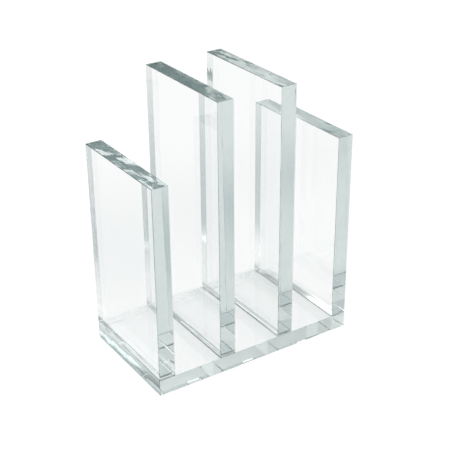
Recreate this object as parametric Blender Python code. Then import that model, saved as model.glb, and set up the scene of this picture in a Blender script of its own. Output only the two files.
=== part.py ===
"""Magazine file holder: four thick clear acrylic dividers cemented upright on an acrylic base.

Metres, +Z up, +X along the row of slots. The origin is the middle of the base's underside, the
face that the holder stands on. The open ends of the slots face -Y (front) and +Y (back).
"""

import bmesh
import bpy

# Driving dimensions.
SHEET = 0.015          # thickness of the acrylic sheet that every panel is cut from
SLOT = 0.045           # clear width of each slot
DEPTH = 0.110          # front to back, the same for the base and the dividers
OUTER_TOP = 0.189      # height of the two outer dividers' tops above the table
INNER_TOP = 0.246      # height of the two inner dividers' tops above the table
BOND = 0.0003          # thickness of the cured cement between base and divider
CONTACT = 0.0003       # clearance left between pieces that touch
EDGE_BREAK = 0.0005    # width of the polished chamfer on the exposed edges

# Sizes that follow from them.
PITCH = SHEET + SLOT
OUTER_X = 1.5 * PITCH
INNER_X = 0.5 * PITCH
WIDTH = 2.0 * OUTER_X + SHEET
BOND_UNDERSIDE = SHEET + CONTACT
DIVIDER_FOOT = BOND_UNDERSIDE + BOND + CONTACT

# Each divider: its name, its centre along X and the height of its top.
DIVIDERS = (
    ("left_outer", -OUTER_X, OUTER_TOP),
    ("left_inner", -INNER_X, INNER_TOP),
    ("right_inner", INNER_X, INNER_TOP),
    ("right_outer", OUTER_X, OUTER_TOP),
)

UP = 1.0
DOWN = -1.0


def clear_scene():
    for item in list(bpy.data.objects):
        bpy.data.objects.remove(item, do_unlink=True)


def clear_plastic(name, colour, roughness):
    """Clear, colourless plastic of the acrylic kind: only its faint tint and polish differ."""
    material = bpy.data.materials.new(name)
    material.use_nodes = True
    shader = material.node_tree.nodes["Principled BSDF"]
    shader.inputs["Base Color"].default_value = (*colour, 1.0)
    shader.inputs["Roughness"].default_value = roughness
    shader.inputs["Metallic"].default_value = 0.0
    shader.inputs["IOR"].default_value = 1.49
    shader.inputs["Transmission Weight"].default_value = 1.0
    return material


def block(width, depth, height):
    """A square-edged block, centred on its own origin."""
    shape = bmesh.new()
    bmesh.ops.create_cube(shape, size=1.0)
    bmesh.ops.scale(shape, verts=shape.verts, vec=(width, depth, height))
    return shape


def break_edges(shape, cemented):
    """Chamfer every edge except the four round the cemented face, which faces UP or DOWN."""
    exposed = []
    for edge in shape.edges:
        if any(vert.co.z * cemented < 0.0 for vert in edge.verts):
            exposed.append(edge)
    bmesh.ops.bevel(
        shape,
        geom=exposed,
        offset=EDGE_BREAK,
        offset_type="OFFSET",
        segments=1,
        profile=0.5,
        affect="EDGES",
    )


def place(name, shape, material, x, underside, height):
    """Make the finished shape an object that stands at x with its underside at that height."""
    bmesh.ops.recalc_face_normals(shape, faces=shape.faces)
    mesh = bpy.data.meshes.new(name)
    shape.to_mesh(mesh)
    shape.free()
    mesh.materials.append(material)
    item = bpy.data.objects.new(name, mesh)
    item.location = (x, 0.0, underside + 0.5 * height)
    bpy.context.scene.collection.objects.link(item)


def make_base():
    """The flat plate: its top stays square-edged, where the dividers stand flush with it."""
    acrylic = clear_plastic("acrylic_base", (0.90, 0.96, 0.94), 0.03)
    shape = block(WIDTH, DEPTH, SHEET)
    break_edges(shape, UP)
    place("base_plate", shape, acrylic, 0.0, 0.0, SHEET)


def make_divider(name, x, top):
    """An upright panel, flush with the front and back of the base, on its cement layer."""
    acrylic = clear_plastic(f"acrylic_{name}", (0.92, 0.97, 0.96), 0.03)
    height = top - DIVIDER_FOOT
    shape = block(SHEET, DEPTH, height)
    break_edges(shape, DOWN)
    place(f"{name}_divider", shape, acrylic, x, DIVIDER_FOOT, height)


def make_cement_bond(name, x):
    """The thin cured layer under a divider, which stops short of the chamfered corners."""
    cement = clear_plastic(f"cement_{name}", (0.97, 0.98, 0.95), 0.08)
    shape = block(SHEET - 2.0 * EDGE_BREAK, DEPTH - 2.0 * EDGE_BREAK, BOND)
    place(f"{name}_cement_bond", shape, cement, x, BOND_UNDERSIDE, BOND)


def main():
    clear_scene()
    make_base()
    for name, x, top in DIVIDERS:
        make_divider(name, x, top)
        make_cement_bond(name, x)


main()
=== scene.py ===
"""The looks of the magazine file holder: polished clear acrylic panels, cemented to their base."""

import math
import bmesh
import bpy
from mathutils import Matrix, Vector, noise as turbulence


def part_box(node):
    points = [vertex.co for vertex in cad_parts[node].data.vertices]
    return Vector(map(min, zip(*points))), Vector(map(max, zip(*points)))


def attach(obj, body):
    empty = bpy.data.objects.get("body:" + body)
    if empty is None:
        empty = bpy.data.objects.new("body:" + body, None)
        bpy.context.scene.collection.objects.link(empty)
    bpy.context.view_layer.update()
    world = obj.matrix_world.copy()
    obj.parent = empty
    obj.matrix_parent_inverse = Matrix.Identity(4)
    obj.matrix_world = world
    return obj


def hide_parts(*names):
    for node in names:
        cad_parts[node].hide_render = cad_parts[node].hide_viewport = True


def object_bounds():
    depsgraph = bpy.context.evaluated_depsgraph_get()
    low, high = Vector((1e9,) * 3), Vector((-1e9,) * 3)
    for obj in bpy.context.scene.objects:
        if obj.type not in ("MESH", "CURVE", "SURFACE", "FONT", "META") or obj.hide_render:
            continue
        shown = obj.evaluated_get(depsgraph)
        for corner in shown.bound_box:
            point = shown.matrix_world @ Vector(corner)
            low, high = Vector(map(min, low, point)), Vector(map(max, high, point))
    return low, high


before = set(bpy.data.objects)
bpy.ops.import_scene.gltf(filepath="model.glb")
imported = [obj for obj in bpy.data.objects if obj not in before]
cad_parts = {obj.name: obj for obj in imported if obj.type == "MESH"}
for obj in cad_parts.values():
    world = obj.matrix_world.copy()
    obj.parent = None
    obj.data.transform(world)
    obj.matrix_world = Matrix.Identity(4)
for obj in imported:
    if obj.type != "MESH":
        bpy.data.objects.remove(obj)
cad_low, cad_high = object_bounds()

SIDES = ("left_outer", "left_inner", "right_inner", "right_outer")
ARRIS = 0.0005           # radius of the rounded, polished arrises
ARRIS_SEGMENTS = 3
SEAM = 0.00002           # clearance between the cement film and the faces that it joins
CLOSE = 0.000001         # points nearer than this are in the same place
FLAT = 0.99              # a flat face's normal has at least this much along its axis
TOPSIDE = 0.3            # a top face's or top arris's normal rises by more than this

ACRYLIC_IOR = 1.49
BODY_TINT = (0.0, 0.25, 0.22, 1.0)       # absorbs red most, which greens the long light paths
BODY_DENSITY = 3.0                       # per metre
CLEAR = (1.0, 1.0, 1.0, 1.0)
CAST_WAVE = 0.00004                      # bump heights, in metres
EDGE_WAVE = 0.0011
EDGE_STREAK = 0.00005
CEMENT_WAVE = 0.00006
BASE_WAVE = 0.32                         # share of EDGE_WAVE on the base's edges
SIDE_WAVE = 0.12                         # share of it on the dividers' upright edges
EDGE_ROUGH = 0.05
FACE_ROUGH = 0.02
CEMENT_ROUGH = (0.02, 0.12)
EDGE_HAZE = (0.94, 0.955, 0.95, 1.0)
LEAST_HAZE = 0.15
CEMENT_HAZE = (0.90, 0.95, 0.94, 1.0)

# Patterns of noise: cycles per metre, detail and, where it isn't even, the stretch along each axis.
SWELL = (22.0, 1.0)
RIPPLES = (62.0, 1.5, (1.0, 0.45, 0.45))
STREAKS = (300.0, 2.0, (1.0, 0.05, 0.05))
BUFFING = (95.0, 4.0)
WIPE_MARKS = (30.0, 5.0, (1.0, 1.0, 3.5))
HAZE_PATCHES = (140.0, 3.0)
CEMENT_PITS = (700.0, 2.0)
CEMENT_DULLING = (300.0, 3.0)
CEMENT_CLOUDS = (220.0, 4.0)

# The noise's values at which each begins and is full.
BUFFED_FROM_TO = (0.42, 0.70)
WIPED_FROM_TO = (0.50, 0.78)
HAZY_FROM_TO = (0.40, 0.65)
CLOUDY_FROM_TO = (0.62, 0.80)

RIM_STEPS_SHORT, RIM_STEPS_LONG = 12, 90
RIM_PITCH = 350.0                        # cycles of unevenness per metre
RIM_WANDER = 0.0003
RIM_HOLLOW = 0.0001

FLOOR_HALF = 4.0
FLOOR_Z = -0.0002
FLOOR_GREY = (0.3, 0.3, 0.3, 1.0)
FLOOR_GLOW = 0.75
TABLE_Z = -0.0003
TABLE_ROUGH = 0.6
TABLE_GLOW = 0.69
EVERYWHERE = (-9.0, -8.0)                # limits that the whole table lies beyond

# Light and shade painted on the table, in metres. Nothing casts them: they stand in for the room
# that clear acrylic would show, and were placed for the camera's view, not for others.
TABLE_SHADES = (
    # x from and to, y from and to (none to full depth), then out from the base: where it
    # starts, is full, begins to fade and has gone; and the depth, brighter where below 0
    (*EVERYWHERE, 0.005, -0.075, -0.005, 0.04, 0.08, 0.85, 0.40),     # in front
    (-0.05, -0.20, 0.03, 0.18, -0.005, 0.05, 0.16, 0.42, 0.26),       # behind on the left
    (0.090, 0.097, -0.005, 0.02, 0.000, 0.002, 0.014, 0.020, 0.45),   # against the right side
    (0.090, 0.097, 0.010, -0.010, 0.000, 0.002, 0.014, 0.020, -1.1),
    (-0.090, -0.097, -0.06, -0.059, 0.000, 0.002, 0.014, 0.020, -0.6),  # against the left side
    (-0.09, -0.02, 0.054, 0.056, 0.000, 0.004, 0.020, 0.028, 0.18),   # against the back
    (*EVERYWHERE, *EVERYWHERE, 0.0002, 0.001, 0.002, 0.003, 0.60),    # a thin dark line all round
)
UNDER_SHADE = 0.36                       # depth of the shade painted below each divider
UNDER_ASIDE = 0.006                      # how far it lies to the right of the divider
UNDER_FROM, UNDER_TO = 0.009, 0.005      # half widths where it starts and is full
UNDER_FADE = 0.003                       # it ends within this distance of the base
SHADE_TINT = (0.80, 0.97, 1.0, 1.0)
TINTED_AT = 0.5                          # shade at which SHADE_TINT is full

SKY_LOW, SKY_BAND, SKY_MIDDLE, SKY_TOP = 1.0, 0.20, 0.80, 1.2
BAND_FROM, BAND_TO = 13.0, 24.0          # degrees above the horizon
BAND_SOFT_LOW, BAND_SOFT_HIGH = 1.5, 2.0
TOP_FROM, TOP_TO = 31.0, 40.0
PANEL_EDGE = 0.8                         # half width of the softboxes' soft edges
SOFTBOXES = (                            # azimuth, half width, elevation from and to, extra light
    (-135.0, 9.0, 11.0, 29.0, 2.0),
    (27.0, 7.0, 24.2, 28.0, 3.4),
    (50.0, 16.0, 16.5, 24.5, 1.7),
    (-33.0, 25.0, 29.0, 50.0, 0.15),
)

LENS, SENSOR = 85.2, 36.0                # millimetres
CAMERA_PLACE = Vector((-0.4465, -0.6922, 0.5283))
CAMERA_AIM = Vector((-0.0004, -0.0068, 0.1114))
CAMERA_ROLL = -0.58                      # degrees
BOUNCES = 48                             # light stays long inside the sheets


# ---------------------------------------------------------------- materials

def new_material(name):
    material = bpy.data.materials.new(name)
    material.use_nodes = True
    return material, material.node_tree


def add_node(tree, kind, **values):
    """A new node with its unlinked inputs set, keyed by their names with _ for a space."""
    node = tree.nodes.new(kind)
    for key, value in values.items():
        node.inputs[key.replace("_", " ")].default_value = value
    return node


def face_mark(tree, name):
    mark = tree.nodes.new("ShaderNodeAttribute")
    mark.attribute_name = name
    return mark.outputs["Fac"]


def feed(tree, value, socket):
    """Sets the socket to a number, or links it to another node's output."""
    if isinstance(value, (int, float)):
        socket.default_value = value
    else:
        tree.links.new(value, socket)


def remap(tree, value, low, high, from_low=0.0, from_high=1.0):
    ramp = add_node(tree, "ShaderNodeMapRange", From_Min=from_low, From_Max=from_high)
    feed(tree, low, ramp.inputs["To Min"])
    feed(tree, high, ramp.inputs["To Max"])
    tree.links.new(value, ramp.inputs["Value"])
    return ramp.outputs["Result"]


def noise(tree, scale, detail, stretch=(1.0, 1.0, 1.0)):
    """3-D noise in object space; scale is in cycles per metre."""
    place = tree.nodes.new("ShaderNodeTexCoord")
    mapping = add_node(tree, "ShaderNodeMapping", Scale=stretch)
    tree.links.new(place.outputs["Object"], mapping.inputs["Vector"])
    texture = add_node(tree, "ShaderNodeTexNoise", Scale=scale, Detail=detail)
    tree.links.new(mapping.outputs["Vector"], texture.inputs["Vector"])
    return texture.outputs["Fac"]


def bump(tree, height, distance, strength=1.0, under=None):
    node = add_node(tree, "ShaderNodeBump", Distance=distance)
    tree.links.new(height, node.inputs["Height"])
    feed(tree, strength, node.inputs["Strength"])
    if under is not None:
        tree.links.new(under, node.inputs["Normal"])
    return node.outputs["Normal"]


def arithmetic(tree, operation, first, second=0.0):
    node = tree.nodes.new("ShaderNodeMath")
    node.operation = operation
    feed(tree, first, node.inputs[0])
    feed(tree, second, node.inputs[1])
    return node.outputs["Value"]


def tinted(tree, amount, tint):
    """White, turning to the tint where the amount is 1."""
    mix = tree.nodes.new("ShaderNodeMix")
    mix.data_type = "RGBA"
    shares, colours = mix.inputs[0], mix.inputs[6:8]
    colours[0].default_value = CLEAR
    colours[1].default_value = tint
    tree.links.new(amount, shares)
    return mix.outputs[2]


def clear_body(material):
    """Transmissive shader with tinted absorption, and no refraction where two parts are cemented.

    Returns it with the mask of the faces that air touches.
    """
    tree = material.node_tree
    shader = tree.nodes["Principled BSDF"]
    shader.inputs["Transmission Weight"].default_value = 1.0
    cemented = face_mark(tree, "cemented")
    tree.links.new(remap(tree, cemented, ACRYLIC_IOR, 1.0), shader.inputs["IOR"])
    body = add_node(tree, "ShaderNodeVolumeAbsorption", Color=BODY_TINT, Density=BODY_DENSITY)
    tree.links.new(body.outputs["Volume"], tree.nodes["Material Output"].inputs["Volume"])
    return shader, remap(tree, cemented, 1.0, 0.0)


def acrylic():
    """Cast acrylic sheet: near-flat cast faces, and sawn edges polished by hand."""
    material, tree = new_material("clear_acrylic")
    shader, exposed = clear_body(material)
    edge = face_mark(tree, "polished_edge")
    sawn = remap(tree, edge, 0.0, 1.0, 0.0, SIDE_WAVE)

    # Polishing leaves a slight unevenness on the edges; the cast faces are much flatter.
    swell = bump(tree, noise(tree, *SWELL), CAST_WAVE)
    rippled = bump(tree, noise(tree, *RIPPLES), EDGE_WAVE, edge, swell)
    streaked = bump(tree, noise(tree, *STREAKS), EDGE_STREAK, sawn, rippled)
    tree.links.new(streaked, shader.inputs["Normal"])

    # Buffed patches are a little duller than clear ones, and the faces carry faint wipe marks.
    buffed = remap(tree, noise(tree, *BUFFING), 0.0, EDGE_ROUGH, *BUFFED_FROM_TO)
    wiped = remap(tree, noise(tree, *WIPE_MARKS), 0.0, FACE_ROUGH, *WIPED_FROM_TO)
    roughness = arithmetic(tree, "MULTIPLY", remap(tree, sawn, wiped, buffed), exposed)
    tree.links.new(roughness, shader.inputs["Roughness"])

    # A trace of polishing haze greys the edges.
    clouded = remap(tree, noise(tree, *HAZE_PATCHES), LEAST_HAZE, 1.0, *HAZY_FROM_TO)
    hazy = arithmetic(tree, "MULTIPLY", arithmetic(tree, "MULTIPLY", sawn, exposed), clouded)
    tree.links.new(tinted(tree, hazy, EDGE_HAZE), shader.inputs["Base Color"])
    return material


def cement():
    """Cured solvent cement: clear, with a faint cloudiness and an uneven squeezed-out rim."""
    material, tree = new_material("clear_cement")
    shader, exposed = clear_body(material)
    rim = bump(tree, noise(tree, *CEMENT_PITS), CEMENT_WAVE, exposed)
    tree.links.new(rim, shader.inputs["Normal"])
    dulled = remap(tree, noise(tree, *CEMENT_DULLING), *CEMENT_ROUGH)
    tree.links.new(arithmetic(tree, "MULTIPLY", dulled, exposed), shader.inputs["Roughness"])
    cloudy = remap(tree, noise(tree, *CEMENT_CLOUDS), 0.0, 1.0, *CLOUDY_FROM_TO)
    tree.links.new(tinted(tree, cloudy, CEMENT_HAZE), shader.inputs["Base Color"])
    return material


# ---------------------------------------------------------------- pieces

def rounded_panel(low, high, cuts, is_sharp):
    """A panel from low to high with all but its sharp edges rounded, cut across at each x in cuts."""
    shape = bmesh.new()
    bmesh.ops.create_cube(shape, size=1.0)
    bmesh.ops.scale(shape, verts=shape.verts, vec=high - low)
    bmesh.ops.translate(shape, verts=shape.verts, vec=(low + high) / 2)
    exposed = [edge for edge in shape.edges if not is_sharp(edge)]
    bmesh.ops.bevel(shape, geom=exposed, offset=ARRIS, offset_type="OFFSET",
                    segments=ARRIS_SEGMENTS, profile=0.5, affect="EDGES")
    for x in cuts:
        geometry = list(shape.verts) + list(shape.edges) + list(shape.faces)
        bmesh.ops.bisect_plane(shape, geom=geometry, dist=CLOSE, plane_co=(x, 0, 0),
                               plane_no=(1, 0, 0))
    bmesh.ops.recalc_face_normals(shape, faces=shape.faces)
    return shape


def mark_faces(shape, name, value_of):
    """A named number on each face, for face_mark to read in a material."""
    marks = shape.faces.layers.float.new(name)
    for face in shape.faces:
        face[marks] = float(value_of(face))


def finish_piece(name, shape, material, node):
    mesh = bpy.data.meshes.new(name)
    shape.to_mesh(mesh)
    shape.free()
    mesh.materials.append(material)
    piece = bpy.data.objects.new(name, mesh)
    bpy.context.scene.collection.objects.link(piece)
    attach(piece, "root")
    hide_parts(node)


def all_at(z, edge):
    return all(abs(vert.co.z - z) < CLOSE for vert in edge.verts)


def make_base(material):
    low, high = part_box("base_plate")
    feet = [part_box(f"{side}_divider") for side in SIDES]
    cuts = [x for foot in feet for x in (foot[0].x, foot[1].x) if low.x + CLOSE < x < high.x - CLOSE]

    def under_divider(face):
        x = face.calc_center_median().x
        return face.normal.z > FLAT and any(foot[0].x < x < foot[1].x for foot in feet)

    def wave(face):
        return BASE_WAVE if abs(face.normal.z) < FLAT else 0.0

    shape = rounded_panel(low, high, cuts, lambda edge: all_at(high.z, edge))
    mark_faces(shape, "cemented", under_divider)
    mark_faces(shape, "polished_edge", wave)
    finish_piece("acrylic_base_plate", shape, material, "base_plate")


def make_divider(side, material):
    low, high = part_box(f"{side}_divider")

    def wave(face):
        if abs(face.normal.x) > FLAT:
            return 0.0
        return 1.0 if face.normal.z > TOPSIDE else SIDE_WAVE

    shape = rounded_panel(low, high, (), lambda edge: all_at(low.z, edge))
    mark_faces(shape, "cemented", lambda face: face.normal.z < -FLAT)
    mark_faces(shape, "polished_edge", wave)
    finish_piece(f"acrylic_{side}_divider", shape, material, f"{side}_divider")


def rectangle_outline(low, high):
    """Points round a rectangle, each with its way in from the sides that it is on."""
    middle, half = (low + high) / 2, (high - low) / 2
    corners = ((-1, -1), (1, -1), (1, 1), (-1, 1))
    points = []
    for i, start in enumerate(corners):
        stop = corners[(i + 1) % 4]
        steps = RIM_STEPS_LONG if i % 2 else RIM_STEPS_SHORT
        for step in range(steps):
            share = [at + (end - at) * (step / steps) for at, end in zip(start, stop)]
            point = Vector((middle.x + half.x * share[0], middle.y + half.y * share[1], 0.0))
            inward = Vector([-at if abs(at) == 1.0 else 0.0 for at in share] + [0.0])
            points.append((point, inward))
    return points


def make_cement(side, material):
    """The film between a divider and the base, its rim hollowed and uneven where it squeezed out."""
    low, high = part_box(f"{side}_cement_bond")
    low.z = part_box("base_plate")[1].z + SEAM
    high.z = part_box(f"{side}_divider")[0].z - SEAM
    outline = rectangle_outline(low, high)
    shape = bmesh.new()
    rings = []
    for at, hollow in ((0.0, 0.0), (0.5, 1.0), (1.0, 0.0)):
        ring = []
        for point, inward in outline:
            uneven = 0.5 + 0.5 * turbulence.noise(point * RIM_PITCH)
            spot = point + inward * (RIM_WANDER * uneven + RIM_HOLLOW * hollow)
            spot.z = low.z + (high.z - low.z) * at
            ring.append(shape.verts.new(spot))
        rings.append(ring)
    for lower, upper in zip(rings, rings[1:]):
        for i in range(len(outline)):
            j = (i + 1) % len(outline)
            shape.faces.new((lower[i], lower[j], upper[j], upper[i]))
    shape.faces.new(list(reversed(rings[0])))
    shape.faces.new(rings[-1])
    bmesh.ops.recalc_face_normals(shape, faces=shape.faces)
    mark_faces(shape, "cemented", lambda face: abs(face.normal.z) > FLAT)
    finish_piece(f"cement_{side}_joint", shape, material, f"{side}_cement_bond")


sheet_material, cement_material = acrylic(), cement()
make_base(sheet_material)
for side in SIDES:
    make_divider(side, sheet_material)
    make_cement(side, cement_material)

# ---------------------------------------------------------------- stage, light and camera

def smooth_step(tree, value, low, high, from_low, from_high):
    ramp = add_node(tree, "ShaderNodeMapRange", From_Min=from_low, From_Max=from_high,
                    To_Min=low, To_Max=high)
    ramp.interpolation_type = "SMOOTHSTEP"
    tree.links.new(value, ramp.inputs["Value"])
    return ramp.outputs["Result"]


def plane(name, height, material):
    shape = bmesh.new()
    bmesh.ops.create_grid(shape, x_segments=1, y_segments=1, size=FLOOR_HALF)
    mesh = bpy.data.meshes.new(name)
    shape.to_mesh(mesh)
    shape.free()
    floor = bpy.data.objects.new(name, mesh)
    floor.location.z = height
    bpy.context.scene.collection.objects.link(floor)
    mesh.materials.append(material)
    return floor


def glowing(name, grey, roughness=None):
    """A matt material that gives off light as well, and its shader and tree."""
    material, tree = new_material(name)
    shader = tree.nodes["Principled BSDF"]
    shader.inputs["Base Color"].default_value = grey
    shader.inputs["Specular IOR Level"].default_value = 0.0
    shader.inputs["Emission Color"].default_value = CLEAR
    if roughness is not None:
        shader.inputs["Roughness"].default_value = roughness
    return material, tree, shader


def table_shade(tree):
    """How much dimmer the table is at each place: TABLE_SHADES and the shade below each divider."""
    split = tree.nodes.new("ShaderNodeSeparateXYZ")
    tree.links.new(tree.nodes.new("ShaderNodeTexCoord").outputs["Object"], split.inputs["Vector"])
    x, y = split.outputs["X"], split.outputs["Y"]
    squares = []
    for value, half in ((x, cad_high.x), (y, cad_high.y)):
        past = arithmetic(tree, "SUBTRACT", arithmetic(tree, "ABSOLUTE", value), half)
        beyond = arithmetic(tree, "MAXIMUM", past, 0.0)
        squares.append(arithmetic(tree, "MULTIPLY", beyond, beyond))
    away = arithmetic(tree, "SQRT", arithmetic(tree, "ADD", *squares))

    shade = 0.0
    for x_from, x_to, y_from, y_to, start, full, fading, gone, depth in TABLE_SHADES:
        shares = [smooth_step(tree, away, 0.0, 1.0, start, full),
                  smooth_step(tree, away, 1.0, 0.0, fading, gone)]
        for place, limits in ((x, (x_from, x_to)), (y, (y_from, y_to))):
            if limits != EVERYWHERE:
                shares.append(smooth_step(tree, place, 0.0, 1.0, *limits))
        zone = depth
        for share in shares:
            zone = arithmetic(tree, "MULTIPLY", zone, share)
        shade = arithmetic(tree, "ADD", zone, shade)

    below = smooth_step(tree, away, UNDER_SHADE, 0.0, 0.0, UNDER_FADE)
    for side in SIDES:
        low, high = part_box(f"{side}_divider")
        middle = (low.x + high.x) / 2 + UNDER_ASIDE
        aside = arithmetic(tree, "ABSOLUTE", arithmetic(tree, "SUBTRACT", x, middle))
        strip = smooth_step(tree, aside, 0.0, 1.0, UNDER_FROM, UNDER_TO)
        shade = arithmetic(tree, "ADD", arithmetic(tree, "MULTIPLY", strip, below), shade)
    return shade


def make_floor():
    """A plain white floor that only the camera sees, over a painted table that it never sees directly.

    The acrylic refracts and reflects the table, and never the floor.
    """
    material, tree, shader = glowing("white_floor", FLOOR_GREY)
    shader.inputs["Emission Strength"].default_value = FLOOR_GLOW
    floor = plane("floor", FLOOR_Z, material)
    floor.visible_diffuse = floor.visible_glossy = False
    floor.visible_transmission = floor.visible_shadow = False

    # The table glows by itself: its emission, TABLE_GLOW less table_shade, is painted light and shade,
    # not light from the lamps.
    material, tree, shader = glowing("glowing_painted_table", FLOOR_GREY, TABLE_ROUGH)
    shade = table_shade(tree)
    full_tint = smooth_step(tree, shade, 0.0, 1.0, 0.0, TINTED_AT)
    tree.links.new(tinted(tree, full_tint, SHADE_TINT), shader.inputs["Emission Color"])
    glow = arithmetic(tree, "MAXIMUM", arithmetic(tree, "SUBTRACT", TABLE_GLOW, shade), 0.0)
    tree.links.new(glow, shader.inputs["Emission Strength"])
    table = plane("table", TABLE_Z, material)
    table.visible_camera = False


def sine(degrees):
    return math.sin(math.radians(degrees))


def softbox(tree, direction, height, azimuth, half_width, low, high, strength):
    """Extra light from a soft-edged panel; angles in degrees, azimuth from +Y towards +X."""
    def along(axis):
        dot = tree.nodes.new("ShaderNodeVectorMath")
        dot.operation = "DOT_PRODUCT"
        dot.inputs[1].default_value = axis
        tree.links.new(direction, dot.inputs[0])
        return dot.outputs["Value"]

    east, north = sine(azimuth), sine(90.0 - azimuth)
    aside = arithmetic(tree, "ABSOLUTE", along((north, -east, 0.0)))
    across = smooth_step(tree, aside, strength, 0.0, sine(half_width - PANEL_EDGE),
                         sine(half_width + PANEL_EDGE))
    ahead = arithmetic(tree, "GREATER_THAN", along((east, north, 0.0)), 0.0)
    above = smooth_step(tree, height, 0.0, 1.0, sine(low - PANEL_EDGE), sine(low + PANEL_EDGE))
    below = smooth_step(tree, height, 1.0, 0.0, sine(high - PANEL_EDGE), sine(high + PANEL_EDGE))
    upright = arithmetic(tree, "MULTIPLY", above, below)
    return arithmetic(tree, "MULTIPLY", arithmetic(tree, "MULTIPLY", across, ahead), upright)


def make_world():
    """A white studio with a dark band low all round, which draws the edges, and soft lights."""
    world = bpy.data.worlds.new("studio")
    bpy.context.scene.world = world
    world.use_nodes = True
    tree = world.node_tree
    direction = tree.nodes.new("ShaderNodeTexCoord").outputs["Generated"]
    split = tree.nodes.new("ShaderNodeSeparateXYZ")
    tree.links.new(direction, split.inputs["Vector"])
    height = split.outputs["Z"]
    into_band = smooth_step(tree, height, SKY_LOW, SKY_BAND, sine(BAND_FROM - BAND_SOFT_LOW),
                            sine(BAND_FROM + BAND_SOFT_LOW))
    out_of_band = smooth_step(tree, height, 0.0, SKY_MIDDLE - SKY_BAND, sine(BAND_TO - BAND_SOFT_HIGH),
                              sine(BAND_TO + BAND_SOFT_HIGH))
    overhead = smooth_step(tree, height, 0.0, SKY_TOP - SKY_MIDDLE, sine(TOP_FROM), sine(TOP_TO))
    total = arithmetic(tree, "ADD", arithmetic(tree, "ADD", into_band, out_of_band), overhead)
    for box in SOFTBOXES:
        total = arithmetic(tree, "ADD", total, softbox(tree, direction, height, *box))
    background = tree.nodes["Background"]
    background.inputs["Color"].default_value = CLEAR
    tree.links.new(total, background.inputs["Strength"])


def make_camera():
    data = bpy.data.cameras.new("camera")
    camera = bpy.data.objects.new("camera", data)
    bpy.context.scene.collection.objects.link(camera)
    data.sensor_width = SENSOR
    data.lens = LENS
    forward = (CAMERA_AIM - CAMERA_PLACE).normalized()
    turn = forward.to_track_quat("-Z", "Y").to_matrix().to_4x4()
    roll = Matrix.Rotation(math.radians(CAMERA_ROLL), 4, "Z")
    camera.matrix_world = Matrix.Translation(CAMERA_PLACE) @ turn @ roll
    bpy.context.scene.camera = camera


make_floor()
make_world()
make_camera()
scene = bpy.context.scene
scene.view_settings.view_transform = "Standard"
scene.cycles.blur_glossy = 0.0
scene.cycles.max_bounces = BOUNCES
scene.cycles.glossy_bounces = BOUNCES
scene.cycles.transmission_bounces = BOUNCES
scene.cycles.transparent_max_bounces = BOUNCES
